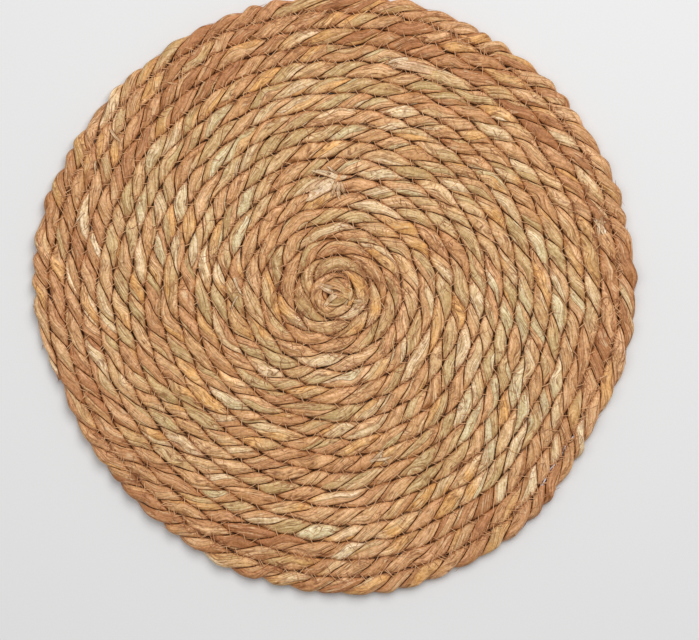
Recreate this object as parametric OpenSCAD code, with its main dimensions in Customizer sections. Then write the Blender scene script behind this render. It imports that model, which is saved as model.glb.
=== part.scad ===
// Round chair seat pad. One straw rope of two strands is laid in a flat spiral from the middle
// outwards, and a zigzag seam of two threads joins each turn to the next.
// Origin: middle of the underside. +Z up, and the pad lies flat on the plane z = 0.

/* [Pad] */
// Turns that the rope makes from the middle to its outer end
turns = 17.85; // [13:0.05:22]
// Distance from the middle of one turn to the middle of the next
pitch = 11; // [9:0.25:14]
// Thickness of the pad between its two flat sides
pad_h = 10; // [8:0.25:12]
// Direction of the rope's outer end, in degrees from +X
end_direction = 197; // [0:1:359]

/* [Rope] */
// Gap between the sides of neighbouring turns
turn_gap = 0.1; // [0.1:0.05:0.4]
// Where new straw is spliced into the upper strand, as shares of the turns from the middle
splice_shares = [0.3675, 0.5653, 0.8123, 0.9154];
// How far along the rope the lower strand's splice lies past the upper strand's
splice_stagger = 60; // [20:5:120]
// Length over which the rope's outer end is thinned
tail_l = 80; // [40:5:140]
// Width that is left at the tip of the outer end
tail_w = 3; // [2:0.25:5]

/* [Sewing] */
// Diameter of the sewing thread
thread_d = 0.8; // [0.4:0.05:1]
// Length of the pale finishing thread caught beside the outer turn
finish_thread_l = 45; // [30:5:90]

/* [Loose straw] */
// Width of a loose leaf end
leaf_w = 3; // [1.5:0.25:4]
// Thickness of a loose leaf end
leaf_t = 0.25; // [0.2:0.05:0.4]
// Length of a loose leaf end
leaf_l = 16; // [8:1:22]
// Leaf ends that stand out at each splice
leaves_per_splice = 4; // [2:1:5]

/* [Hidden] */

$fn = 48;
tiny = 0.05;                        // clearance of a piece that lies on another
rope_w = pitch - turn_gap;          // width of the rope's section
start_direction = end_direction - 360 * turns;
last_angle = 360 * turns;           // angle along the spiral at the tip
tail_steps = 12;

// A half of the rope's section, as shares of its half width and half height: upright sides, a
// rounded shoulder and a flat that the pad rests on.
shoulder = [[1, 0], [1, 0.24], [0.87, 0.62], [0.64, 0.87], [0.34, 1]];
half_section = concat(shoulder, [for (i = [4:-1:0]) [-shoulder[i].x, shoulder[i].y]]);
function section(w, h, side) = [for (q = half_section) [q.x * w / 2, side * q.y * h / 2]];

// The spiral is made of half circles, each half a pitch larger than the one before. The halves
// are centred in turn on two points half a pitch apart.
function arc_r(k) = pitch / 2 * (k + 1);
function arc_x(k) = k % 2 == 0 ? 0 : pitch / 2;
function angle_at(share) = whole_tenths(last_angle * share);
function radius_at(angle) = pitch * (angle / 360 + 0.25);
function whole_tenths(angle) = round(angle * 10) / 10;
function along(angle, distance) = whole_tenths(angle + distance / radius_at(angle) * 180 / PI);

// How far the pad reaches in a direction of the plane, and from it the middle of the pad
function last_angle_in(direction) =
    last_angle - ((end_direction - direction) % 360 + 360) % 360;
function reach(direction) = radius_at(last_angle_in(direction)) + rope_w / 2;
pad_middle = [(reach(0) - reach(180)) / 2, (reach(90) - reach(270)) / 2];

// Puts the spiral's own frame in place: its start is turned to its direction, and the middle of
// the pad comes to the origin
module spiral_place() {
    translate([-pad_middle.x, -pad_middle.y, pad_h / 2])
        rotate(start_direction)
            translate([-pitch / 4, 0, 0])
                children();
}

// The stretch of spiral between two angles, as a sweep of a 2D section that is drawn around
// the rope's middle. out shifts the section outwards.
module spiral_sweep(from, to, out = 0) {
    union() {
        for (k = [floor(from / 180):ceil(to / 180) - 1]) {
            low = max(from, 180 * k);
            high = min(to, 180 * (k + 1));
            if (high - low > 0.01)
                translate([arc_x(k), 0, 0])
                    rotate_extrude(angle = high - low, start = low % 360)
                        translate([arc_r(k) + out, 0])
                            children();
        }
    }
}

// A point and a heading on the spiral, in the spiral's own frame
function spiral_point(angle, out = 0) =
    let (k = floor(angle / 180))
    [arc_x(k) + (arc_r(k) + out) * cos(angle), (arc_r(k) + out) * sin(angle)];

// Rounds the rope's start in the middle of the pad
module start_cap(side) {
    translate([pitch / 2, 0, 0])
        rotate(180)
            rotate_extrude(angle = 180)
                intersection() {
                    polygon(section(rope_w, pad_h, side));
                    translate([0, -pad_h]) square([rope_w, 2 * pad_h]);
                }
}

// The thinned outer end: short stretches of spiral that get narrower and lower, and stay
// against the turn inside them
module tail(side) {
    from = along(last_angle, -tail_l);
    for (i = [0:tail_steps - 1]) {
        share = (i + 1) / tail_steps;
        w = rope_w + (tail_w - rope_w) * share;
        h = pad_h * (1 - 0.45 * share * share);
        spiral_sweep(
            whole_tenths(from + (last_angle - from) * i / tail_steps),
            whole_tenths(from + (last_angle - from) * share),
            (w - rope_w) / 2
        ) polygon(section(w, h, side));
    }
}

// Where a strand of one rope length starts and ends. side is 1 for the upper strand and -1 for
// the lower one, whose splices lie further along.
function splice_angle(i, side) =
    let (angle = angle_at(splice_shares[i]))
    side > 0 ? angle : along(angle, splice_stagger);

module strand(length_index, side) {
    last_length = len(splice_shares);
    from = length_index == 0 ? 0 : splice_angle(length_index - 1, side);
    to = length_index == last_length ? along(last_angle, -tail_l) : splice_angle(length_index, side);
    spiral_place() {
        spiral_sweep(from, to) polygon(section(rope_w, pad_h, side));
        if (length_index == 0) start_cap(side);
        if (length_index == last_length) tail(side);
    }
}

module inner_length_upper_strand() { color("tan") strand(0, 1); }
module inner_length_lower_strand() { color("burlywood") strand(0, -1); }
module second_length_upper_strand() { color("darkkhaki") strand(1, 1); }
module second_length_lower_strand() { color("tan") strand(1, -1); }
module third_length_upper_strand() { color("burlywood") strand(2, 1); }
module third_length_lower_strand() { color("darkkhaki") strand(2, -1); }
module fourth_length_upper_strand() { color("sandybrown") strand(3, 1); }
module fourth_length_lower_strand() { color("peru") strand(3, -1); }
module outer_length_upper_strand() { color("peru") strand(4, 1); }
module outer_length_lower_strand() { color("sandybrown") strand(4, -1); }

// The seam runs in the groove between two turns, from the first groove to the rope's tip. Each
// thread lies against the shoulders of the turns, clear of them by the groove's width.
seam_z = shoulder[2].y * pad_h / 2 + thread_d / 4;
seam_end = last_angle - 360 - 2;
module seam_thread(side) {
    spiral_place()
        translate([0, 0, side * seam_z])
            spiral_sweep(10, seam_end, pitch / 2) circle(d = thread_d);
}
module needle_thread() { color("rosybrown") seam_thread(1); }
module bobbin_thread() { color("rosybrown") seam_thread(-1); }

// A short pale thread beside the seam of the outer turn, higher in the groove
finish_direction = 315;
module finishing_thread() {
    from = last_angle_in(finish_direction) - 360;
    color("lightsteelblue")
        spiral_place()
            translate([0, 0, seam_z + thread_d + tiny])
                spiral_sweep(from, along(from, finish_thread_l), pitch / 2) circle(d = thread_d);
}

// One leaf end: a thin strip with a cut tip, lying flat, that points along +X
module leaf_end(l) {
    linear_extrude(leaf_t)
        polygon([[0, -leaf_w / 2], [0.8 * l, -leaf_w / 2], [l, 0], [0.8 * l, leaf_w / 2],
                 [0, leaf_w / 2]]);
}

// Leaf ends that fan out over a splice, each on top of the one before
module leaf_ends(splice, spread) {
    angle = angle_at(splice_shares[splice]);
    p = spiral_point(angle);
    spiral_place()
        translate([p.x, p.y, pad_h / 2 + tiny])
            for (i = [0:leaves_per_splice - 1])
                translate([0, 0, i * (leaf_t + tiny)])
                    rotate(angle + 90 + spread * (i - (leaves_per_splice - 1) / 2))
                        leaf_end(leaf_l * (1 - 0.12 * i));
}
module first_splice_leaf_ends() { color("wheat") leaf_ends(0, 55); }
module second_splice_leaf_ends() { color("wheat") leaf_ends(1, 30); }
module third_splice_leaf_ends() { color("palegoldenrod") leaf_ends(2, 25); }
module fourth_splice_leaf_ends() { color("wheat") leaf_ends(3, 20); }

// Leaves that have come out of a strand away from the splices: where each one lies, as a share
// of the turns from the middle, and its heading from the rope's
loose_leaf_places = [
    [0.3232, 110], [0.3216, 75], [0.9345, 35], [0.9373, -20], [0.8824, 20], [0.5406, -25],
];
module loose_leaves() {
    color("wheat")
        spiral_place()
            for (leaf = loose_leaf_places) {
                angle = angle_at(leaf[0]);
                p = spiral_point(angle);
                translate([p.x, p.y, pad_h / 2 + tiny])
                    rotate(angle + 90 + leaf[1])
                        leaf_end(leaf_l);
            }
}

inner_length_upper_strand();
inner_length_lower_strand();
second_length_upper_strand();
second_length_lower_strand();
third_length_upper_strand();
third_length_lower_strand();
fourth_length_upper_strand();
fourth_length_lower_strand();
outer_length_upper_strand();
outer_length_lower_strand();
needle_thread();
bobbin_thread();
finishing_thread();
first_splice_leaf_ends();
second_splice_leaf_ends();
third_splice_leaf_ends();
fourth_splice_leaf_ends();
loose_leaves();
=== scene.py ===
# %% [markdown]
# A round chair seat pad of straw rope. Two strands of dry leaf are twisted into a rope, the rope
# is laid in a flat spiral, and a zigzag seam joins each turn to the next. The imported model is
# loaded first: it fixes the size, and every piece made here stays where it says.

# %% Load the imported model
import math

import bmesh
import bpy
import numpy as np
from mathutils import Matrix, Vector
from mathutils.bvhtree import BVHTree


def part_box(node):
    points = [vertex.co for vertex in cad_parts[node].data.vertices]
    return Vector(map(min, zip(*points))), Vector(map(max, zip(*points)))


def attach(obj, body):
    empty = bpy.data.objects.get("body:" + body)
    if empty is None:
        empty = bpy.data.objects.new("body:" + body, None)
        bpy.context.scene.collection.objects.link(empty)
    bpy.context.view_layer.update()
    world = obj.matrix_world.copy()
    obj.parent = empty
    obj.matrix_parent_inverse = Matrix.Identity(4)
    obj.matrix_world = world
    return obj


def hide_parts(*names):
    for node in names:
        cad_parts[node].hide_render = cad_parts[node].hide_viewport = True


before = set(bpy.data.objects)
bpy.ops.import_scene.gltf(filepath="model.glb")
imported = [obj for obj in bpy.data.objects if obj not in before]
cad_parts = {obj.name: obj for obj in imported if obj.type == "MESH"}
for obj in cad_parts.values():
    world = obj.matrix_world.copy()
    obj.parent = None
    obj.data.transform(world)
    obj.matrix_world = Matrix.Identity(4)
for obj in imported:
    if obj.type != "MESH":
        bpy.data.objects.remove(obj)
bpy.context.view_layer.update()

# %% [markdown]
# The rope's facts, in metres. The spiral is made of half circles, each half a pitch larger than
# the one before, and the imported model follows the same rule.

# %% The rope and its spiral
pitch = 0.011  # from one row to the next
turns = 17.85
rope_w = 0.0125  # wider than the pitch, because the rows are pressed into each other
pad_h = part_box("outer_length_upper_strand")[1].z
end_direction = math.radians(197)
start_direction = end_direction - 2 * math.pi * turns
spiral_centre = np.array([pitch / 4, -pitch / 4])


def angle_of(s):
    """The angle that the spiral has turned through where the rope is s metres long."""
    s = np.maximum(s, 0.0)
    k = np.floor((np.sqrt(1 + 16 * s / (math.pi * pitch)) - 1) / 2)
    before = math.pi * pitch * k * (k + 1) / 4
    return math.pi * k + (s - before) / ((k + 1) * pitch / 2)


def length_at(angle):
    """The rope's length where the spiral has turned through an angle."""
    k = np.floor(angle / math.pi)
    return math.pi * pitch * k * (k + 1) / 4 + (angle - math.pi * k) * (k + 1) * pitch / 2


def spiral_frame(angle, out=0.0):
    """Points and outward directions on the spiral, shifted outwards by out."""
    k = np.floor(angle / math.pi)
    radius = (k + 1) * pitch / 2 + out
    centre_x = np.where(k % 2 == 0, 0.0, pitch / 2) - pitch / 4
    x = centre_x + radius * np.cos(angle)
    y = radius * np.sin(angle)
    c, s = math.cos(start_direction), math.sin(start_direction)
    points = np.stack([c * x - s * y, s * x + c * y], -1) + spiral_centre
    turned = angle + start_direction
    return points, np.stack([np.cos(turned), np.sin(turned)], -1)


rope_l = float(length_at(2 * math.pi * turns))
rim_from = float(length_at(2 * math.pi * (turns - 1)))
print("rope length", round(rope_l, 3), "m, of which the rim is", round(rope_l - rim_from, 3), "m")

# %% [markdown]
# Straw is never even. The unevenness comes from sums of a few waves, and from random series that
# start at fixed numbers, so the pad is the same each time the script runs.

# %% Smooth unevenness
def wave_line(x, wavelength, seed):
    """Smooth noise along a line, about -1 to 1."""
    own = np.random.default_rng(seed)
    total = np.zeros_like(x)
    for _ in range(5):
        total += np.sin(2 * math.pi * x / (wavelength * own.uniform(0.6, 1.7)) + own.uniform(0, 6.3))
    return total / 2.6


def wave_field(points, wavelength, seed):
    """Smooth noise over the plane, about -1 to 1."""
    own = np.random.default_rng(seed)
    total = np.zeros(len(points))
    for _ in range(7):
        heading = own.uniform(0, 2 * math.pi)
        along = points[:, 0] * math.cos(heading) + points[:, 1] * math.sin(heading)
        total += np.sin(2 * math.pi * along / (wavelength * own.uniform(0.6, 1.6)) + own.uniform(0, 6.3))
    return total / 3.0


# %% [markdown]
# A sewn pad isn't a true circle. It bulges where the rope was fed loosely and is pulled in where
# it was held tight, most of all at the rim, and its rows wander a little. Every point of the pad
# goes through the same function, so rope, threads and leaves move together.

# %% The pad out of round
rim_r = 0.2
oval, oval_direction = 0.0028, -35  # the push outwards, and where it is greatest
rim_bumps = [(-80, 30, 0.0056), (-28, 17, -0.0050), (172, 42, 0.0018), (-138, 24, -0.0024)]
row_wander = [(0.00055, 0.055, 21), (0.00030, 0.022, 24)]
drift = 0.0006


def bump_at(direction, middle, width):
    """1 in one direction of the plane, falling to 0 over a width, all in degrees."""
    gap = (direction - middle + 180) % 360 - 180
    return np.exp(-((gap / width) ** 2))


def settle(points):
    """Moves points of the plane as the sewn pad has moved."""
    rel = points - spiral_centre
    radius = np.hypot(rel[:, 0], rel[:, 1])
    heading = rel / np.maximum(radius, 1e-6)[:, None]
    direction = np.degrees(np.arctan2(rel[:, 1], rel[:, 0]))
    push = oval * np.cos(np.radians(direction - oval_direction))
    for middle, width, size in rim_bumps:
        push += size * bump_at(direction, middle, width)
    rows = sum(size * wave_field(points, wavelength, seed) for size, wavelength, seed in row_wander)
    rows *= np.minimum(1, radius / 0.03)
    moved = points + heading * (push * (radius / rim_r) ** 2.5 + rows)[:, None]
    moved[:, 0] += drift * wave_field(points, 0.09, 22)
    moved[:, 1] += drift * wave_field(points, 0.09, 23)
    return moved


rim_line = spiral_frame(np.linspace(2 * math.pi * (turns - 1), 2 * math.pi * turns, 200))[0]
print("rim moved by up to", round(1000 * float(np.abs(settle(rim_line) - rim_line).max()), 1), "mm")

# %% [markdown]
# One strand is half of the rope's section, a D, swept along a helix. By hand it would be a
# circle with one side pushed flat, and a Screw modifier to sweep it: that is what is done here,
# on a straight line. The two strands of the rope are the same D half a turn apart.

# %% A straight strand, twisted by a Screw modifier
lay_l = 0.0368  # the length of rope in which a strand goes round once
strand_r = 0.00555
arc_points = 25
flat_points = (0, 0.35, 0.7)  # where the flat side keeps its points, as shares of the radius
steps_per_lay = 31
most_rings = 2880  # keeps the longest strand under 200,000 triangles
hairbreadth = 1e-7  # far smaller than the spacing of the points


def pick(mesh_object, test):
    """Selects the vertices of the mesh in edit mode that pass a test on their place."""
    edit = bmesh.from_edit_mesh(mesh_object.data)
    for v in edit.verts:
        v.select_set(bool(test(v.co)))
    edit.select_flush_mode()
    bmesh.update_edit_mesh(mesh_object.data)


def cut_end(z, facing):
    """Cuts the mesh in edit mode across at a height, and closes it with a face."""
    bpy.ops.mesh.select_all(action="SELECT")
    bpy.ops.mesh.bisect(plane_co=(0, 0, z), plane_no=(0, 0, facing), clear_outer=True, use_fill=True)


def straight_strand(name, length):
    """A D-shaped strand along +Z with the rope's left-hand lay."""
    bpy.ops.object.select_all(action="DESELECT")
    bpy.ops.mesh.primitive_circle_add(vertices=2 * arc_points, radius=strand_r, location=(0, 0, 0))
    strand = bpy.context.object
    strand.name = strand.data.name = name
    bpy.ops.object.mode_set(mode="EDIT")
    bpy.ops.mesh.select_mode(type="VERT")
    bpy.ops.mesh.select_all(action="DESELECT")
    pick(strand, lambda co: co.x < -hairbreadth)
    bpy.ops.transform.resize(value=(0, 1, 1), center_override=(0, 0, 0))
    bpy.ops.mesh.select_all(action="DESELECT")
    kept = [strand_r * share for share in flat_points]
    pick(strand, lambda co: co.x < hairbreadth and abs(co.y) < 0.93 * strand_r
         and min(abs(abs(co.y) - y) for y in kept) > 0.05 * strand_r)
    bpy.ops.mesh.dissolve_verts()
    bpy.ops.object.mode_set(mode="OBJECT")
    sweep = strand.modifiers.new("Lay", "SCREW")
    sweep.axis = "Z"
    sweep.angle = -2 * math.pi
    sweep.screw_offset = lay_l
    sweep.iterations = math.ceil(length / lay_l)
    sweep.steps = sweep.render_steps = min(steps_per_lay, int(most_rings * lay_l / length))
    sweep.use_smooth_shade = True
    bpy.ops.object.modifier_apply(modifier="Lay")
    bpy.ops.object.mode_set(mode="EDIT")
    cut_end(length, 1)
    cut_end(1e-5, -1)
    bpy.ops.mesh.select_all(action="SELECT")
    bpy.ops.mesh.normals_make_consistent(inside=False)
    bpy.ops.object.mode_set(mode="OBJECT")
    return strand


print("lay", lay_l, "m, about", round(rope_l / lay_l), "times round in the whole rope")

# %% [markdown]
# Hand-fed rope isn't laid evenly. Here the lay is looser in the middle of the pad, where the rope
# starts, and a few slow waves let it run ahead or fall behind all along.

# %% The lay
slack, slack_l = 0.36, 0.45
lay_waves = [(1.3, 0.35, 33), (0.7, 0.12, 31), (0.42, 0.05, 32)]


def lay_phase(s):
    """How far the lay has run ahead of an even one, in radians."""
    behind = 2 * math.pi / lay_l * slack * slack_l * (1 - np.exp(-np.maximum(s, 0.0) / slack_l))
    return sum(size * wave_line(s, wavelength, seed) for size, wavelength, seed in lay_waves) - behind


lay_lost = -float(lay_phase(np.array([rope_l]))[0]) / (2 * math.pi)
print("by the rope's end the lay has fallen behind by", round(lay_lost, 1), "turns")

# %% [markdown]
# Sewing pulls the rows together. A strand's back is a pressed circle in the outline of a flattened
# rope, and beside the next row it is pressed nearly full. Only the rim's free side keeps a waist
# between one strand and the other.

# %% The rope's section
squareness = 2.9  # 2 would make the rope's outline an ellipse
strand_off, strand_round = 0.20, 0.80  # how far the strand's circle is off the middle, and its radius
waist, pressed_fill = 0.24, 0.88


def half_envelope(angle, half_w, half_h):
    """How far the rope's outline is from its middle in a direction of the section."""
    n = squareness
    return (np.abs(np.cos(angle) / half_w) ** n + np.abs(np.sin(angle) / half_h) ** n) ** (-1 / n)


def strand_share(own, side_on, free):
    """How far a strand reaches, as a share of the rope's outline.

    own is the angle from the top of the strand's back, side_on says how squarely the point faces
    the next row, and free is 1 where there is no next row.
    """
    share = strand_off * np.cos(own) + np.sqrt(strand_round ** 2 - (strand_off * np.sin(own)) ** 2)
    share = share * np.maximum(np.cos(own), 0.003) ** 0.05
    share = share - waist * free * side_on * (1 - np.cos(own))
    return np.maximum(share, pressed_fill * (1 - free) * side_on ** 7)


crease = float(strand_share(math.pi / 2, 0.0, 0.0))
print("in the crease between two strands the rope is", round(crease, 2), "of its full outline")

# %% [markdown]
# A strand is made of leaf. Each leaf runs along the strand a little straighter than the strand
# itself, laps over the next one, and has a width and a level of its own. Modelling a thousand
# leaves would be heavy, so their relief is a height added to the strand's back.

# %% Leaf by leaf relief
leaves_round = 3.0  # leaves side by side round a strand
straighter = 0.50
lap_from, lap_w = 0.86, 0.14  # the part of a leaf's width in which the next one rises
level_count = 997
step_h, arch_h, wrinkle_h = 0.00040, 0.00036, 0.00016


def leaf_under(s, around, seed):
    """The leaf at a place: the whole part is its number, the rest says where across it."""
    leaf = leaves_round * (around - straighter * s / lay_l)
    return leaf + 0.22 * wave_line(leaf, 2.3, seed) + 0.16 * wave_line(s, 0.03, seed + 1)


def leaf_relief(s, leaf, seed):
    """The height of the leaves: their levels, their arched backs and their wrinkles."""
    leaf_no = np.floor(leaf)
    across = leaf - leaf_no
    levels = np.random.default_rng(seed + 2).uniform(-1, 1, level_count)
    own_level = levels[leaf_no.astype(int) % level_count]
    next_level = levels[(leaf_no.astype(int) + 1) % level_count]
    step = own_level + (next_level - own_level) * np.clip((across - lap_from) / lap_w, 0, 1)
    arch = 1 - (2 * across - 1) ** 2
    wrinkle = wave_line(leaf, 0.31, seed + 3) * (0.6 + 0.4 * wave_line(s, 0.011, seed + 4))
    return step_h * step + arch_h * (arch - 0.6) + wrinkle_h * wrinkle


print("one leaf's level is up to", round(2000 * step_h, 2), "mm above its neighbour's")

# %% [markdown]
# The straw's material needs to know where it is on a leaf, which no coordinate of the finished
# shape can say. So the mesh keeps two notes: a UV map with the distance along the rope and the
# count of leaves, and an attribute that says how deep in a crevice a point lies, so that the
# material can paint shade there.

# %% Reading and marking a mesh
def points_of(mesh):
    """The places of a mesh's vertices."""
    co = np.empty(len(mesh.vertices) * 3)
    mesh.vertices.foreach_get("co", co)
    return co.reshape(-1, 3)


def corners_of(mesh):
    """The vertex at each corner of each face."""
    corners = np.empty(len(mesh.loops), dtype=np.int32)
    mesh.loops.foreach_get("vertex_index", corners)
    return corners


def mark_leaves(mesh, along, leaf):
    """Stores the leaf map: the distance along, and the leaf, at each corner of each face."""
    mesh.uv_layers.new(name="leaf").data.foreach_set("uv", np.column_stack([along, leaf]).ravel())


def mark_depth(mesh, deep):
    """Stores how deep each vertex lies, from 0 on a leaf's back to 1 in a pit."""
    mesh.attributes.new("deep", "FLOAT", "POINT").data.foreach_set("value", deep)


def close_round(mesh, leaf):
    """Carries the count of leaves over the place where it starts again, face by face."""
    totals = np.empty(len(mesh.polygons), dtype=np.int32)
    mesh.polygons.foreach_get("loop_total", totals)
    face_of = np.repeat(np.arange(len(totals)), totals)
    high = np.full(len(totals), -1e9)
    np.maximum.at(high, face_of, leaf)
    return leaf + np.where(high[face_of] - leaf > leaves_round / 2, leaves_round, 0.0)


# %% [markdown]
# A curve modifier would wind a strand on to the spiral, but it would stretch the leaves and
# couldn't press one row against the next. Moving the vertices in code can do both, so each
# strand's mesh goes through one function.

# %% Winding a strand on to the spiral
back_part, flat_part = 0.31, 0.19  # each half way round a strand: over its back, over its flat side
free_over = 0.1  # the length in which the outer turn's outer side comes free
tail_l, tail_w = 0.080, 0.003
stand_out = 0.00005  # the strands' backs stand this far out of the rope's outline
row_rise = 0.00035  # the rows rise and sink by this much
start_cap_l = 0.0045
start_cap_r = 0.0046  # a little more, so that the rounded start ends in a small face


def wind(strand, start_s, side, seed):
    """Bends a straight strand on to the spiral, with its leaves, and stores where they are."""
    mesh = strand.data
    co = points_of(mesh)
    run = co[:, 2]
    s = start_s + run
    # the point untwisted: a is out of the strand's back, b is across it
    helix = -2 * math.pi * run / lay_l
    c, d = np.cos(helix), np.sin(helix)
    a = np.maximum(co[:, 0] * c + co[:, 1] * d, 0.0)
    b = -co[:, 0] * d + co[:, 1] * c
    own = np.arctan2(b, np.maximum(a, 1e-9))
    on_back = a > 2e-5
    over_flat = np.sign(b + 1e-9) * (back_part + flat_part * (1 - np.abs(b) / strand_r))
    leaf = leaf_under(s, np.where(on_back, own / math.pi * (2 * back_part), over_flat), seed)
    # the section, twisted as the rope is laid
    thick = 1 + 0.05 * wave_line(s, 0.06, seed + 5) + 0.045 * wave_line(s, 0.021, seed + 6)
    section_angle = -2 * math.pi * s / lay_l - lay_phase(s) + (0 if side > 0 else math.pi) + own
    outline = half_envelope(section_angle, rope_w / 2, pad_h / 2) + stand_out
    free = np.clip((s - rim_from) / free_over, 0, 1) * (np.cos(section_angle) < 0)
    share = strand_share(own, np.abs(np.cos(section_angle)), free)
    relief = leaf_relief(s, leaf, seed)
    reach = np.where(on_back, share * thick * outline, np.abs(b) * 0.50) + np.where(on_back, relief, 0)
    inward = reach * np.cos(section_angle)
    up = reach * np.sin(section_angle)
    # the two ends of the whole rope: rounded in the middle of the pad, thinned at the rim
    tip = np.clip((rope_l - s) / tail_l, 0, 1)
    width = np.where(tip < 1, tail_w / rope_w + (1 - tail_w / rope_w) * tip ** 0.8, 1.0)
    inward = inward * width + (1 - width) * rope_w / 2
    up = up * (1 - 0.5 * (1 - tip) ** 1.5)
    rounding = np.sqrt(1 - np.clip(-s / start_cap_r, 0, 0.995) ** 2)
    inward, up = inward * rounding, up * rounding
    # on to the spiral
    middle, outward = spiral_frame(angle_of(s))
    ahead = np.stack([-outward[:, 1], outward[:, 0]], -1)
    flat = settle(middle + ahead * np.minimum(s, 0)[:, None] - outward * inward[:, None])
    z = pad_h / 2 + up + row_rise * wave_field(flat, 0.07, 41)
    mesh.vertices.foreach_set("co", np.column_stack([flat, np.maximum(z, 0.0)]).ravel())
    # the notes for the material
    corners = corners_of(mesh)
    mark_leaves(mesh, s[corners], close_round(mesh, leaf[corners] + seed))
    # the depth note for the painted shade: deep in the crease between the strands and beside the next
    # row, but not on the rim's free side
    row_groove_shade = 0.90 * (np.abs(inward) / (rope_w / 2)) ** 5
    on_free_side = (s > rim_from) & (inward < 0)
    deep = np.where(on_back, 1 - share, 1.0) + np.where(on_free_side, 0.0, row_groove_shade)
    mark_depth(mesh, np.clip(deep, 0, 1))
    mesh.update()


# %% [markdown]
# The straw ran out four times, and a new bunch was fed in each time, so the rope is five lengths
# of two strands. The lower strand's splice lies further along than the upper one's, as a real
# splice is staggered.

# %% The ten strands
lengths = ["inner", "second", "third", "fourth", "outer"]
sides = {"upper": 1, "lower": -1}
splice_shares = [0.3675, 0.5653, 0.8123, 0.9154]  # of the turns
splice_stagger = 0.060


def splice_at(i, side):
    """The rope's length at the upper or the lower strand's splice."""
    s = float(length_at(2 * math.pi * turns * splice_shares[i]))
    return s if side > 0 else s + splice_stagger


strands = {}
for i, length_name in enumerate(lengths):
    for side_name, side in sides.items():
        from_s = -start_cap_l if i == 0 else splice_at(i - 1, side)
        to_s = rope_l if i == len(lengths) - 1 else splice_at(i, side)
        strand = straight_strand(f"{length_name}_{side_name}_strand_straw", to_s - from_s)
        wind(strand, from_s, side, 100 * (i + 1) + 50 * (side > 0))
        strands[length_name, side_name] = strand
        print(strand.name, "faces", len(strand.data.polygons), "length", round(to_s - from_s, 3))

# %% [markdown]
# Every thread and loose leaf lies on top of the rope, so their heights are found by looking
# straight down, or up, at the strands: a ray is cast, and where it meets straw is the height.

# %% Finding the straw's surface
depsgraph = bpy.context.evaluated_depsgraph_get()
straw_trees = [BVHTree.FromObject(strand, depsgraph) for strand in strands.values()]
ray_from = 0.05  # the ray starts this far above or below the pad's middle
lowest = 0.0003  # a thread's or leaf's middle keeps this high, so that it clears the floor


def surface_z(x, y, up=1):
    """The height of the straw's top (up=1) or of its underside (up=-1) at a place."""
    start, down = Vector((x, y, pad_h / 2 + up * ray_from)), Vector((0, 0, -up))
    hits = [tree.ray_cast(start, down)[0] for tree in straw_trees]
    heights = [hit.z for hit in hits if hit is not None]
    if not heights:
        return 0.0005 if up > 0 else pad_h / 2
    return max(heights) if up > 0 else min(heights)


def heights_at(flat):
    """The height of the straw's top at each of many places."""
    return np.array([surface_z(x, y) for x, y in flat])


print("straw over the middle stands", round(1000 * surface_z(*spiral_centre), 1), "mm high")

# %% [markdown]
# The seam is a long zigzag. A curve with a round bevel is the quickest way to give a long path a
# thickness, and converting it afterwards leaves an ordinary mesh.

# %% Threads from bevelled curves
def thread_piece(name, paths, thickness, roundness=1):
    """One mesh of many threads. Each path is a list of points and their relative thickness."""
    curve = bpy.data.curves.new(name, "CURVE")
    curve.dimensions = "3D"
    curve.bevel_depth = thickness / 2
    curve.bevel_resolution = roundness
    curve.use_fill_caps = True
    for points, radii in paths:
        spline = curve.splines.new("POLY")
        spline.points.add(len(points) - 1)
        spline.points.foreach_set("co", np.column_stack([points, np.ones(len(points))]).ravel())
        spline.points.foreach_set("radius", np.asarray(radii, dtype=float))
    thread = bpy.data.objects.new(name, curve)
    bpy.context.scene.collection.objects.link(thread)
    bpy.ops.object.select_all(action="DESELECT")
    thread.select_set(True)
    bpy.context.view_layer.objects.active = thread
    bpy.ops.object.convert(target="MESH")
    thread = bpy.context.object
    thread.data.name = name
    bpy.ops.object.mode_set(mode="EDIT")
    bpy.ops.mesh.select_all(action="SELECT")
    bpy.ops.mesh.normals_make_consistent(inside=False)
    bpy.ops.object.mode_set(mode="OBJECT")
    bpy.ops.object.shade_smooth_by_angle(angle=math.radians(60))
    print(name, "faces", len(thread.data.polygons))
    return thread


# %% [markdown]
# A taut thread bridges the dips between the strands and dives into the groove where the needle
# went in. So its path takes the straw's height at each point, is then pulled straight over the
# dips a few times, and its stitch holes are pushed down into the straw.

# %% The path of a seam
stitch_hole = 0.0016
sag = 0.0001  # how far a taut thread may hang between its neighbours at each pull
pulls = 6
leg_points = 4
pressed_in = 0.00002  # how far the thread's middle is below the straw's surface


def lay_on_straw(flat, up, holes, clearance):
    """Heights for a taut thread over the points flat. holes says which points go into the straw."""
    z = np.array([surface_z(x, y, up) for x, y in flat]) * up
    z = z + clearance
    for _ in range(pulls):
        z[1:-1] = np.maximum(z[1:-1], (z[:-2] + z[2:]) / 2 - sag)
    return np.maximum(np.where(holes, z - stitch_hole, z) * up, lowest)


def zigzag(from_turn, to_turn, stitch, swing, seed, up=1):
    """The path of a zigzag seam in the groove between each turn and the next."""
    own = np.random.default_rng(seed)
    start, end = (float(length_at(2 * math.pi * t)) for t in (from_turn, to_turn))
    needle_s = np.arange(start, end, stitch / 2)
    needle_s = needle_s + own.uniform(-0.13, 0.13, len(needle_s)) * stitch
    side = np.where(np.arange(len(needle_s)) % 2 == 0, -1.0, 1.0)
    out = pitch / 2 + side * swing * own.uniform(0.55, 1.15, len(needle_s))
    places = np.arange(0, len(needle_s) - 1, 1 / leg_points)
    leg = places.astype(int)
    part = places - leg
    angle = angle_of(needle_s)
    path_angle = angle[leg] + (angle[leg + 1] - angle[leg]) * part
    path_out = out[leg] + (out[leg + 1] - out[leg]) * part
    flat = settle(spiral_frame(path_angle, path_out)[0])
    z = lay_on_straw(flat, up, part < 1e-6, -pressed_in)
    return np.column_stack([flat, z]), np.ones(len(flat))


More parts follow.
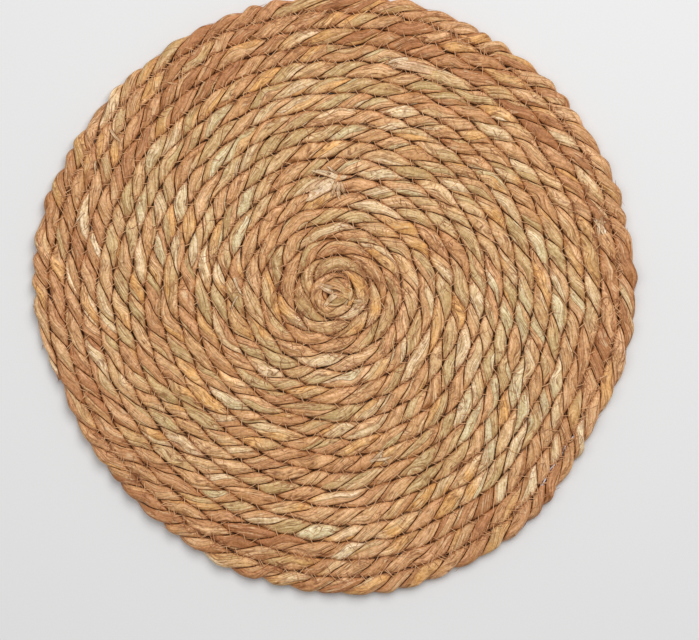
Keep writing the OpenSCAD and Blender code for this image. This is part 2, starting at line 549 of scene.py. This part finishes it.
# %% [markdown]
# The top thread runs from the first turn to the last groove. The outer rows were sewn over again
# with a longer stitch, and so was one stretch nearer the middle. A last line of stitches crosses
# the eye. The thread underneath follows the same groove.

# %% The seams
thread_d = 0.00046
seam = {"from_turn": 0.35, "to_turn": turns - 1.02, "stitch": 0.0115}
eye_points = 26
needle_paths = [
    zigzag(**seam, swing=0.0043, seed=61),
    zigzag(turns - 2.3, turns - 1.05, 0.0163, 0.0050, 62),
    zigzag(turns - 1.7, turns - 1.1, 0.0131, 0.0038, 63),
    zigzag(turns - 4.4, turns - 4.0, 0.0142, 0.0046, 64)]
eye_sway = 0.0003 * np.sin(np.arange(eye_points) * 1.9)
eye_line = np.column_stack([eye_sway, np.linspace(-0.004, 0.034, eye_points)])
eye_flat = eye_line + spiral_centre + np.array([-0.002, 0])
eye_z = lay_on_straw(eye_flat, 1, np.arange(eye_points) % 5 == 4, 0.00015)
needle_paths += [(np.column_stack([eye_flat, eye_z]), np.ones(eye_points))]
needle_thread = thread_piece("zigzag_needle_thread", needle_paths, thread_d)
bobbin_paths = [zigzag(**seam, swing=0.0036, seed=65, up=-1)]
bobbin_thread = thread_piece("zigzag_bobbin_thread", bobbin_paths, thread_d)

# %% [markdown]
# One short pale thread is caught in the outermost groove. It lies in the straw, and comes out of
# it in only a few places.

# %% The pale finishing thread in the outermost groove
finish_direction = math.radians(315)
finish_l, finish_r, finish_d = 0.045, 0.19, 0.001
finish_points = 31
finish_seen = [3, 4, 5, 6, 12, 13, 14, 22, 23]  # the points that lie on top of the straw
finish_turn = (finish_direction - start_direction) / (2 * math.pi)
finish_turn = finish_turn - math.ceil(finish_turn - (turns - 1))
finish_angle = 2 * math.pi * finish_turn + np.linspace(0, finish_l / finish_r, finish_points)
finish_out = pitch / 2 + 0.0008 * np.sin(np.linspace(0, 14, finish_points))
finish_flat = settle(spiral_frame(finish_angle, finish_out)[0])
point_no = np.arange(finish_points)
finish_z = lay_on_straw(finish_flat, 1, ~np.isin(point_no, finish_seen), 0.0002)
finish_thickness = np.where(np.isin(point_no, [0, finish_points - 1]), 0.3, 1.0)
finishing_thread = thread_piece("pale_finishing_thread",
                                [(np.column_stack([finish_flat, finish_z]), finish_thickness)], finish_d)

# %% [markdown]
# Where a new bunch of leaf joins the rope, the old leaves' dry ends stick out of the lay. Each is
# a flat strip: a grid laid on the straw along its own line, narrower at its tip, and then made
# solid. Loose leaves elsewhere on the pad are the same.

# %% Leaf strips
leaf_thick = 0.00028
leaf_gap, leaf_dip = 0.00025, 0.0004  # over the straw, and how far its sides may hang below its middle
root_depth = 0.0022
leaf_count = 0


def leaf_strip(root, heading, length, width, lift=0.0015, bend=0.2, cup=0.0004):
    """A strip of leaf from a root place, heading in degrees, laid on the straw."""
    global leaf_count
    leaf_count += 1
    bpy.ops.object.select_all(action="DESELECT")
    bpy.ops.mesh.primitive_grid_add(x_subdivisions=14, y_subdivisions=4, size=1, location=(0, 0, 0))
    strip = bpy.context.object
    mesh = strip.data
    co = points_of(mesh)
    along, across = co[:, 0] + 0.5, co[:, 1] * 2
    # the leaf seen from above: it bends, sways, narrows to both ends and is ragged at its tip
    ragged = 0.1 * np.sin(9 * across + leaf_count) * (along > 0.97)
    turn = math.radians(heading) + bend * along
    travel = length * (along - ragged)
    sideways = across * width / 2 * (1 - 0.55 * along ** 3 - 0.25 * (1 - along) ** 4)
    sway = 0.06 * np.sin(5 * along + leaf_count)
    middle = np.column_stack([root[0] + travel * np.cos(turn), root[1] + travel * np.sin(turn)])
    beside = np.column_stack([-np.sin(turn + sway), np.cos(turn + sway)])
    flat = middle + sideways[:, None] * beside
    # and its height: on the straw, buried at its root, lifted and curled on its way
    rest = np.maximum(heights_at(flat), heights_at(middle) - leaf_dip) + leaf_gap
    raised = lift * np.sin(math.pi * np.clip(along * 0.8 + 0.1, 0, 1)) ** 2 * along
    buried = root_depth * np.clip(1 - along / 0.12, 0, 1)
    curl = cup * (across ** 2 - 0.3) * np.sin(3 * along + leaf_count)
    wave = 0.00025 * np.sin(11 * along + 2 * leaf_count) + 0.0001 * np.sin(23 * along + 5 * across)
    z = np.maximum(rest + raised - buried + curl + wave, lowest)
    mesh.vertices.foreach_set("co", np.column_stack([flat, z]).ravel())
    # the leaf's own number, far from the rope's, and its brown edges
    while mesh.uv_layers:
        mesh.uv_layers.remove(mesh.uv_layers[0])
    corners = corners_of(mesh)
    mark_leaves(mesh, travel[corners], 5000 + leaf_count + 0.5 + 0.48 * across[corners])
    mark_depth(mesh, np.where(np.abs(across) > 0.9, 0.62, 0.0))
    thick = strip.modifiers.new("Thickness", "SOLIDIFY")
    thick.thickness = leaf_thick
    thick.offset = 0
    bpy.ops.object.modifier_apply(modifier="Thickness")
    return strip


def gather(name, strips):
    """Joins strips into one piece."""
    bpy.ops.object.select_all(action="DESELECT")
    for strip in strips:
        strip.select_set(True)
    bpy.context.view_layer.objects.active = strips[0]
    bpy.ops.object.join()
    piece = bpy.context.object
    piece.name = piece.data.name = name
    bpy.ops.object.shade_smooth_by_angle(angle=math.radians(50))
    print(name, "strips", len(strips), "faces", len(piece.data.polygons))
    return piece


def on_rope(turn, out=0.0, ahead=0.0):
    """A place on the rope, and the rope's heading there in degrees."""
    angle = angle_of(length_at(2 * math.pi * turn) + ahead)
    flat, outward = spiral_frame(np.array([angle]), np.array([out]))
    travel = math.degrees(math.atan2(outward[0, 1], outward[0, 0])) + 90
    return settle(flat)[0], travel


# %% [markdown]
# The rope starts as a bunch of leaves folded over flat in the middle of the pad, with the first
# stitches through the fold. Short wide leaf strips laid round the middle make that fold, some in
# the rope's straw and some in paler leaf.

# %% The fold at the eye
eye = settle(spiral_centre[None, :])[0]


def fold(name, leaves):
    """Leaves round the eye. Each is a root (right, up), heading, bend, length and width."""
    return gather(name, [
        leaf_strip(eye + np.array([right, up]), heading, length, width, 0.0011, bend, 0.0007)
        for right, up, heading, bend, length, width in leaves])


eye_fold = fold("folded_start_leaves", [
    (-0.0085, 0.0040, 28, -0.9, 0.0190, 0.0062), (-0.0070, -0.0058, -22, 0.8, 0.0180, 0.0062),
    (-0.0030, 0.0085, -8, -0.8, 0.0130, 0.0044), (0.0040, -0.0070, 18, 0.9, 0.0130, 0.0048),
    (0.0008, 0.0012, -2, -0.5, 0.0150, 0.0078), (0.0100, 0.0020, -72, -0.5, 0.0110, 0.0046)])
pale_fold = fold("pale_start_leaves", [
    (0.0010, 0.0010, 172, -0.2, 0.0130, 0.0062), (0.0010, -0.0005, 205, 0.3, 0.0115, 0.0046),
    (0.0090, -0.0035, -35, 0.4, 0.0080, 0.0036)])

# %% [markdown]
# At each splice the ends fan out from one place. The first splice's stand in a small open fan,
# and the third's are longer and lie almost along the rope.

# %% The tufts where new leaf joins
def tuft(name, share, fan):
    """The leaf ends at one splice. Each is ahead, out, heading off the rope, length, width, lift."""
    strips = []
    for ahead, out, off, length, width, lift in fan:
        root, travel = on_rope(turns * share, out, ahead)
        strips.append(leaf_strip(root, travel + off, length, width, lift))
    return gather(name, strips)


tufts = {
    "first_splice_leaf_ends": tuft("first_tuft", splice_shares[0], [
        (0.002, 0.001, 10, 0.016, 0.0050, 0.0006), (-0.006, 0.0015, 24, 0.024, 0.0095, 0.0010),
        (-0.007, 0.0024, -26, 0.018, 0.0046, 0.0018), (-0.006, 0.004, -52, 0.010, 0.0024, 0.0012),
        (-0.0062, 0.0015, 60, 0.011, 0.0034, 0.0018), (-0.0068, 0.0012, 82, 0.0115, 0.0036, 0.0014),
        (-0.0075, 0.001, 104, 0.011, 0.0034, 0.0012), (-0.007, 0.003, 182, 0.005, 0.0036, 0.0010)]),
    "second_splice_leaf_ends": tuft("second_tuft", splice_shares[1], [
        (-0.006, 0.001, 20, 0.012, 0.0030, 0.0010), (-0.004, -0.001, -16, 0.013, 0.0026, 0.0014),
        (0.000, 0.002, 44, 0.009, 0.0018, 0.0010), (0.002, -0.003, -70, 0.008, 0.0014, 0.0008)]),
    "third_splice_leaf_ends": tuft("third_tuft", splice_shares[2], [
        (-0.016, 0.001, 4, 0.032, 0.0075, 0.0006), (-0.004, -0.003, -14, 0.022, 0.0042, 0.0008),
        (0.004, 0.003, 16, 0.016, 0.0030, 0.0010), (0.010, 0.000, 50, 0.008, 0.0016, 0.0008)]),
    "fourth_splice_leaf_ends": tuft("fourth_tuft", splice_shares[3], [
        (-0.007, 0.000, 10, 0.013, 0.0044, 0.0010), (-0.005, -0.002, -22, 0.011, 0.0030, 0.0014),
        (0.001, 0.003, 58, 0.007, 0.0022, 0.0008), (0.003, -0.001, 150, 0.009, 0.0034, 0.0008)]),
}

# %% [markdown]
# A few leaves have come loose away from the splices. They are single strips, joined as one piece.

# %% The loose leaves
loose = []
for turn, out, off, length, width in [
        (5.77, 0.001, 24, 0.014, 0.0022), (5.80, -0.003, -38, 0.011, 0.0016),
        (16.70, 0.002, 62, 0.012, 0.0026), (16.72, -0.002, 18, 0.010, 0.0018),
        (15.75, 0.000, -30, 0.012, 0.0016), (9.65, 0.003, 36, 0.012, 0.0014)]:
    root, travel = on_rope(turn, out)
    loose.append(leaf_strip(root, travel + off, length, width, 0.0014))
loose_leaves = gather("loose_leaf_strips", loose)

# %% [markdown]
# Torn fibres stand out of the lay all over such a pad, and most thickly in the outer rows, where
# the seam is sewn over again. They are very short threads, thinner at their ends, and because
# there are thousands of them each has only a few faces.

# %% Torn fibres
fibre_rng = np.random.default_rng(71)
fibre_d = 0.00036
fibre_l = (0.003, 0.010)
crowded_from = 14.2  # the turn where the outer rows begin
fibre_gap = 0.0001
fibre_dip = 0.0006  # how far a stiff fibre follows the straw down, and how deep its root is
fibre_lift = 0.0012


def fibre_heights(flat, dip):
    """Heights for a stiff fibre, which lies over the straw and bridges its deeper dips."""
    z = heights_at(flat)
    return np.maximum(z, z.mean() - dip) + fibre_gap


def torn_fibres(count, turn_range, spread, crowd):
    """Short fibres beside the grooves of some turns. crowd is the share that stands in tufts."""
    paths = []
    hubs = fibre_rng.uniform(*turn_range, max(3, count // 14))
    for _ in range(count):
        turn = fibre_rng.uniform(*turn_range)
        if fibre_rng.uniform() < crowd:
            turn = fibre_rng.choice(hubs) + fibre_rng.normal(0, 0.004)
        out = pitch / 2 + fibre_rng.normal(0, spread)
        if turn > turns - 1:
            out = -abs(out)
        root, travel = on_rope(max(turn, 0.2), out)
        heading = math.radians(travel + fibre_rng.normal(0, 38) + fibre_rng.choice([0, 180]))
        length = fibre_rng.uniform(*fibre_l)
        along = np.linspace(-0.5, 0.5, 5)
        turned = heading + fibre_rng.uniform(-0.9, 0.9) * along
        flat = root + length * np.column_stack([along * np.cos(turned), along * np.sin(turned)])
        z = fibre_heights(flat, fibre_dip)
        z = z + fibre_rng.uniform(0, fibre_lift) * np.array([0, 0.2, 0.5, 0.8, 1.0])
        z[0] -= fibre_dip
        radii = [0.7, 1.0, 0.95, 0.7, 0.3]
        paths.append((np.column_stack([flat, np.maximum(z, lowest)]), radii))
    return paths


def rim_fibres(count):
    """Fibres that lie nearly along the rope on the outer side of the last turn."""
    paths = []
    for _ in range(count):
        turn = fibre_rng.uniform(turns - 1, turns - 0.04)
        root, travel = on_rope(turn, fibre_rng.uniform(0.001, 0.0052))
        heading = math.radians(travel + fibre_rng.normal(0, 14))
        along = np.linspace(-0.5, 0.5, 7) * fibre_rng.uniform(0.006, 0.018)
        flat = root + np.column_stack([along * math.cos(heading), along * math.sin(heading)])
        z = fibre_heights(flat, 0.0005)
        radii = [0.3, 0.8, 1.0, 1.0, 0.9, 0.7, 0.3]
        paths.append((np.column_stack([flat, np.maximum(z, lowest)]), radii))
    return paths


fibre_paths = rim_fibres(150)
fibre_paths += torn_fibres(2600, (0.4, crowded_from), spread=0.0034, crowd=0.35)
fibre_paths += torn_fibres(2000, (crowded_from, turns - 0.1), spread=0.0022, crowd=0.55)
frayed_fibres = thread_piece("torn_fibres", fibre_paths, fibre_d, roundness=0)

# %% [markdown]
# Dry leaf is never one colour. The straw's material reads the map that the winding stored: U is
# the distance along the rope and V counts leaves, so the whole part of V names a leaf and the
# rest says where a point lies across it. Such a material needs many nodes, so a small class
# writes them in short lines.

# %% A short way to write node trees
def linear(red, green, blue):
    """A colour from the usual 0 to 255 values."""
    return tuple((v / 255 / 12.92 if v <= 10 else ((v / 255 + 0.055) / 1.055) ** 2.4)
                 for v in (red, green, blue)) + (1.0,)


class Finish:
    """A material whose nodes are added one by one and joined by their sockets."""

    def __init__(self, name):
        self.material = bpy.data.materials.new(name)
        self.material.use_nodes = True
        self.tree = self.material.node_tree
        self.shader = self.tree.nodes["Principled BSDF"]

    def put(self, socket, value):
        """Joins another node's socket to this one, or sets its value."""
        if isinstance(value, bpy.types.NodeSocket):
            self.tree.links.new(value, socket)
        elif value is not None:
            socket.default_value = value

    def add(self, kind, *values, **settings):
        """A node, with its settings, and values for its first sockets."""
        node = self.tree.nodes.new(kind)
        for key, value in settings.items():
            setattr(node, key, value)
        for socket, value in zip(node.inputs, values):
            self.put(socket, value)
        return node

    def math(self, operation, *values):
        return self.add("ShaderNodeMath", *values, operation=operation).outputs[0]

    def times(self, first, second):
        return self.math("MULTIPLY", first, second)

    def noise(self, place, scale, detail=2.0, roughness=0.5):
        node = self.add("ShaderNodeTexNoise")
        self.put(node.inputs["Vector"], place)
        node.inputs["Scale"].default_value = scale
        node.inputs["Detail"].default_value = detail
        node.inputs["Roughness"].default_value = roughness
        return node.outputs["Fac"]

    def between(self, value, low, high, to_low=0.0, to_high=1.0):
        """Stretches the range from low to high on to another, and stops at its ends."""
        return self.add("ShaderNodeMapRange", value, low, high, to_low, to_high).outputs[0]

    def patches(self, scale, low, high, to_low=0.0, to_high=1.0, detail=2.0, roughness=0.5):
        """A value that differs from place to place on the piece."""
        return self.between(self.noise(self.place, scale, detail, roughness), low, high, to_low, to_high)

    def mix(self, factor, first, second, blend="MIX"):
        node = self.add("ShaderNodeMix", data_type="RGBA", blend_type=blend)
        self.put(node.inputs[0], factor)
        self.put(node.inputs[6], first)
        self.put(node.inputs[7], second)
        return node.outputs[2]

    def warm_grey(self, value):
        """A grey to multiply by, that turns brown as it gets darker."""
        red, blue = self.math("POWER", value, 0.78), self.math("POWER", value, 1.55)
        return self.add("ShaderNodeCombineColor", red, value, blue).outputs[0]

    def ramp(self, value, stops):
        node = self.add("ShaderNodeValToRGB", value)
        elements = node.color_ramp.elements
        while len(elements) < len(stops):
            elements.new(0.5)
        for element, (position, colour) in zip(elements, stops):
            element.position, element.color = position, colour
        return node.outputs[0]

    def bump(self, height, distance, strength=1.0, after=None):
        node = self.add("ShaderNodeBump")
        node.inputs["Strength"].default_value = strength
        node.inputs["Distance"].default_value = distance
        self.put(node.inputs["Height"], height)
        self.put(node.inputs["Normal"], after)
        return node.outputs[0]


# %% [markdown]
# A leaf's edge is a little ragged, so the count of leaves is disturbed by a slow noise before it
# is split into a leaf's number and the place across it. The fibres keep to the undisturbed count,
# or they would swirl like wood.

# %% Knowing the leaf
class LeafFinish(Finish):
    """A finish that knows on which leaf a point lies, and where on it."""

    def __init__(self, name):
        super().__init__(name)
        part = self.add("ShaderNodeSeparateXYZ", self.add("ShaderNodeUVMap", uv_map="leaf").outputs[0])
        self.along, self.count = part.outputs[0], part.outputs[1]
        self.place = self.add("ShaderNodeTexCoord").outputs["Object"]
        ragged = self.math("SUBTRACT", self.noise(self.grid(90.0, 0.7, self.count), 1.0, 3.0), 0.5)
        self.leaf = self.math("ADD", self.count, self.times(ragged, 0.30))
        self.leaf_no = self.math("FLOOR", self.leaf)
        across = self.math("FRACT", self.leaf)
        self.edge = self.math("MINIMUM", across, self.math("SUBTRACT", 1.0, across))

    def grid(self, per_metre, per_leaf, leaf, leaf_no=None):
        """Coordinates for a pattern on the leaf, with so many cells to a metre and to a leaf."""
        return self.add("ShaderNodeCombineXYZ", self.times(self.along, per_metre),
                        self.times(leaf, per_leaf), leaf_no).outputs[0]

    def along_fibres(self, per_metre, per_leaf):
        """Coordinates for fibres, which run straight along each leaf and differ from leaf to leaf."""
        return self.grid(per_metre, per_leaf, self.count, self.leaf_no)

    def lines(self, coordinates, scale, detail, middle, reach):
        """1 on thin lines where a noise passes a middle value, falling to 0 beside them."""
        off = self.math("SUBTRACT", self.noise(coordinates, scale, detail), middle)
        return self.between(self.math("ABSOLUTE", off), 0.0, reach, 1.0, 0.0)


# %% [markdown]
# The hue is drawn once for each leaf from a ramp, redder to paler. Zones of the pad pull it one
# way or the other. The grain, stains and age then make the leaf lighter and darker.

# %% The colour of a leaf
stain_brown = linear(142, 86, 38)
paler_from, paler_to = 4.9, 7.2  # metres along the rope, where the third length turns paler


def leaf_colour(f, hues, zone_pull, paler, fibre):
    """A leaf's own colour, with its grain and its stains."""
    drawn = f.add("ShaderNodeTexWhiteNoise", noise_dimensions="1D")
    f.put(drawn.inputs["W"], f.times(f.leaf_no, 1.618))
    own_tone = f.add("ShaderNodeSeparateColor", drawn.outputs["Color"]).outputs[1]
    hue = f.math("ADD", drawn.outputs["Value"], f.patches(11.0, 0.3, 0.7, -zone_pull, zone_pull, 1.0))
    hue = f.math("ADD", hue, f.between(f.along, paler_from, paler_to, 0.0, paler))
    tone = f.between(fibre, 0.36, 0.64, 0.73, 1.30)
    streak = f.noise(f.along_fibres(22.0, 3.5), 1.0, 3.0, 0.6)
    for factor in [f.between(streak, 0.3, 0.7, 0.90, 1.10),
                   f.patches(14.0, 0.35, 0.65, 0.95, 1.05),
                   f.between(f.along, 0.15, 0.60, 0.93, 1.0),
                   f.between(own_tone, 0.0, 1.0, 0.92, 1.08),
                   f.patches(620.0, 0.36, 0.64, 0.80, 1.16, 2.0, 0.6)]:
        tone = f.times(tone, factor)
    colour = f.mix(1.0, f.ramp(hue, hues), f.warm_grey(tone), "MULTIPLY")
    stains = f.times(f.patches(260.0, 0.60, 0.74, 0.0, 1.0, 4.0, 0.75), 0.45)
    return f.mix(stains, colour, stain_brown)


# %% [markdown]
# Dry leaf splits along its fibres and cracks across them. Its edges are brown. All these are thin
# lines, stronger in some places than in others, laid over the leaf's colour one after another.

# %% Edges, splits and cracks
edge_brown = linear(122, 68, 24)
pale_fibre = linear(240, 212, 168)


def leaf_lines(f, colour):
    """Lays the brown edges, the splits, the pale fibres and the small cracks over a colour."""
    edge_line = f.between(f.edge, 0.0, 0.050, 1.0, 0.0)
    colour = f.mix(f.times(edge_line, f.patches(150.0, 0.38, 0.62, 0.25, 0.95)), colour, edge_brown)
    long_fibres = f.along_fibres(26.0, 2.6)
    for middle, reach, tint, strength in [
            (0.50, 0.045, edge_brown, 0.95), (0.60, 0.040, pale_fibre, 0.70)]:
        split = f.lines(long_fibres, 1.6, 2.0, middle, reach)
        colour = f.mix(f.times(split, f.patches(190.0, 0.42, 0.60, 0.0, strength)), colour, tint)
    split = f.lines(f.along_fibres(48.0, 6.0), 1.4, 1.0, 0.5, 0.055)
    colour = f.mix(f.times(split, f.patches(110.0, 0.40, 0.60, 0.0, 0.75)), colour, edge_brown)
    cells = f.add("ShaderNodeTexVoronoi", feature="DISTANCE_TO_EDGE")
    f.put(cells.inputs["Vector"], f.grid(230.0, 5.0, f.leaf, f.leaf_no))
    crack = f.between(cells.outputs["Distance"], 0.0, 0.07, 1.0, 0.0)
    return f.mix(f.times(crack, f.patches(75.0, 0.44, 0.62, 0.0, 0.60)), colour, edge_brown)


# %% [markdown]
# Down in the crevices, beside the other strand and the next row, shade is painted into the straw:
# redder and then dark. The mesh's own note of depth says where they are, because light alone
# leaves them too pale.

# %% Painted crevice shade
red_crevice_shade = linear(184, 114, 62)
crevice_shade_brown = linear(94, 50, 15)
pit_shade_brown = linear(48, 25, 9)


def paint_crevice_shade(f, colour):
    """Paints shade into a colour with depth, in three steps."""
    deep = f.add("ShaderNodeAttribute", attribute_name="deep").outputs["Fac"]
    deep = f.math("ADD", deep, f.patches(240.0, 0.3, 0.7, -0.07, 0.07, 3.0, 0.6))
    # painted shade: the deeper a point lies, the redder, then browner, then darker the straw is painted
    colour = f.mix(f.between(deep, 0.16, 0.42, 0.0, 0.45), colour, red_crevice_shade)
    dark = f.patches(70.0, 0.40, 0.62, 0.58, 1.0)
    colour = f.mix(f.times(f.between(deep, 0.41, 0.57), dark), colour, crevice_shade_brown)
    return f.mix(f.times(f.between(deep, 0.56, 0.80), dark), colour, pit_shade_brown)


# %% [markdown]
# The straw is matt, with a slight waxy sheen on its fibres. Three bumps are added one to another:
# the fibres, the small wrinkles, and the lap where one leaf's edge lies over the next.

# %% Straw
def straw(name, hues, zone_pull, paler=0.0):
    """Dry leaf in a mix of hues, from the reddest to the palest. paler acts at a length's end."""
    f = LeafFinish(name)
    fibre = f.noise(f.along_fibres(52.0, 7.0), 1.0, 3.0, 0.6)
    colour = paint_crevice_shade(f, leaf_lines(f, leaf_colour(f, hues, zone_pull, paler, fibre)))
    f.put(f.shader.inputs["Base Color"], colour)
    f.put(f.shader.inputs["Roughness"], f.between(fibre, 0.3, 0.7, 0.50, 0.68))
    f.shader.inputs["Specular IOR Level"].default_value = 0.35
    grain = f.bump(fibre, 0.00024)
    wrinkle = f.bump(f.noise(f.place, 330.0, 3.0, 0.6), 0.00020, 0.7, grain)
    f.put(f.shader.inputs["Normal"], f.bump(f.between(f.edge, 0.0, 0.10), 0.00030, 0.9, wrinkle))
    print(name, "nodes", len(f.tree.nodes))
    return f.material


mixed_straw = straw("mixed_straw", [
    (0.00, linear(208, 152, 102)), (0.18, linear(221, 168, 115)), (0.40, linear(226, 179, 127)),
    (0.52, linear(213, 176, 122)), (0.66, linear(205, 175, 121)), (0.74, linear(229, 187, 134)),
    (0.80, linear(231, 173, 102)), (0.87, linear(233, 196, 147)), (0.96, linear(240, 211, 165)),
    (1.00, linear(224, 202, 154))], 0.16, 0.15)
ripe_straw = straw("ripe_straw", [
    (0.00, linear(184, 124, 78)), (0.22, linear(204, 148, 99)), (0.46, linear(218, 165, 114)),
    (0.68, linear(222, 173, 122)), (0.75, linear(205, 170, 118)), (0.83, linear(226, 168, 102)),
    (0.91, linear(234, 197, 148)), (1.00, linear(241, 213, 168))], 0.12)
leaf_ends_straw = straw("pale_leaf_ends", [
    (0.00, linear(216, 172, 130)), (0.50, linear(231, 196, 156)), (1.00, linear(240, 216, 180))], 0.05)


# %% [markdown]
# The threads and the torn fibres are too thin to show a pattern, so their finish is only lighter
# and darker from place to place, with a fine twist in the bump.

# %% Threads
def spun(name, colour, shade, roughness):
    """A spun thread, lighter and darker along its length."""
    f = Finish(name)
    f.place = f.add("ShaderNodeTexCoord").outputs["Object"]
    fine = f.noise(f.place, 2600.0)
    f.put(f.shader.inputs["Base Color"], f.mix(f.patches(160.0, 0.35, 0.65), colour, shade))
    f.put(f.shader.inputs["Roughness"], f.between(fine, 0.3, 0.7, roughness - 0.08, roughness + 0.08))
    f.put(f.shader.inputs["Normal"], f.bump(fine, 0.00012, 0.6))
    print(name, "nodes", len(f.tree.nodes))
    return f.material


sewing_thread = spun("sewing_thread", linear(226, 178, 130), linear(196, 138, 92), 0.6)
pale_thread = spun("pale_thread", linear(224, 218, 222), linear(204, 196, 202), 0.4)
fibre_straw = spun("fibre_straw", linear(214, 160, 112), linear(150, 90, 52), 0.65)

# %% [markdown]
# Every piece rides on the one body, and most stand for a plain CAD node. The strands are stuffed
# with leaf and pressed hard together.

# %% Pieces, bodies and finishes
def finish_piece(piece, material, slot, *nodes):
    """Gives a piece its finish and its body, and hides the CAD nodes that it stands for. The slot is not
    used.
    """
    piece.data.materials.clear()
    piece.data.materials.append(material)
    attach(piece, "root")
    if nodes:
        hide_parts(*nodes)


for (length_name, side_name), strand in strands.items():
    ripe = length_name in ("fourth", "outer")
    finish_piece(strand, ripe_straw if ripe else mixed_straw, "ripe_straw" if ripe else "mixed_straw",
                 f"{length_name}_length_{side_name}_strand")
finish_piece(needle_thread, sewing_thread, "sewing_thread", "needle_thread")
finish_piece(bobbin_thread, sewing_thread, "sewing_thread", "bobbin_thread")
finish_piece(finishing_thread, pale_thread, "pale_thread", "finishing_thread")
for node, piece in tufts.items():
    finish_piece(piece, leaf_ends_straw, "leaf_ends", node)
finish_piece(loose_leaves, leaf_ends_straw, "leaf_ends", "loose_leaves")
finish_piece(eye_fold, mixed_straw, "mixed_straw")
finish_piece(pale_fold, leaf_ends_straw, "leaf_ends")
finish_piece(frayed_fibres, fibre_straw, "ripe_straw")
print("strands", len(strands), "threads 3, tufts", len(tufts), "and 4 pieces of loose leaf and fibre")

# %% [markdown]
# The pad lies on a pale sheet of card, seen from straight above. One wide lamp high at the back
# right gives the rows their soft relief, a weaker one at the left opens the shadows, and the sky
# fills what is left.

# %% Floor, light and camera
bpy.ops.object.select_all(action="DESELECT")
bpy.ops.mesh.primitive_plane_add(size=4, location=(0, 0, 0))
floor = bpy.context.object
floor.name = floor.data.name = "pale_floor"
card = Finish("pale_card")
card_tone = card.noise(card.add("ShaderNodeTexCoord").outputs["Object"], 900.0)
card_grey = card.mix(card_tone, linear(221, 221, 221), linear(225, 225, 225))
card.put(card.shader.inputs["Base Color"], card_grey)
card.shader.inputs["Roughness"].default_value = 0.85
floor.data.materials.append(card.material)


def lamp(name, place, size, power):
    """A square lamp that faces the pad."""
    data = bpy.data.lights.new(name, "AREA")
    data.size, data.energy = size, power
    holder = bpy.data.objects.new(name, data)
    holder.location = place
    holder.rotation_euler = (-holder.location).to_track_quat("-Z", "Y").to_euler()
    bpy.context.scene.collection.objects.link(holder)


lamp("soft_key", (0.55, 0.85, 1.7), 1.3, 28)
lamp("soft_fill", (-0.9, 0.3, 1.9), 1.4, 10)
sky = bpy.data.worlds.new("studio")
bpy.context.scene.world = sky
sky.use_nodes = True
sky_light = sky.node_tree.nodes["Background"]
sky_light.inputs["Color"].default_value = (1.0, 1.0, 1.0, 1.0)
sky_light.inputs["Strength"].default_value = 0.35
bpy.context.scene.view_settings.view_transform = "Standard"

camera_h = 1.6
seen_w = 0.470
camera = bpy.data.objects.new("view", bpy.data.cameras.new("view"))
camera.location = (0.0121, -0.0208, camera_h)
camera.data.lens = camera.data.sensor_width * camera_h / seen_w
bpy.context.scene.collection.objects.link(camera)
bpy.context.scene.camera = camera
print("camera", camera_h, "m up, lens", round(camera.data.lens, 1), "mm")
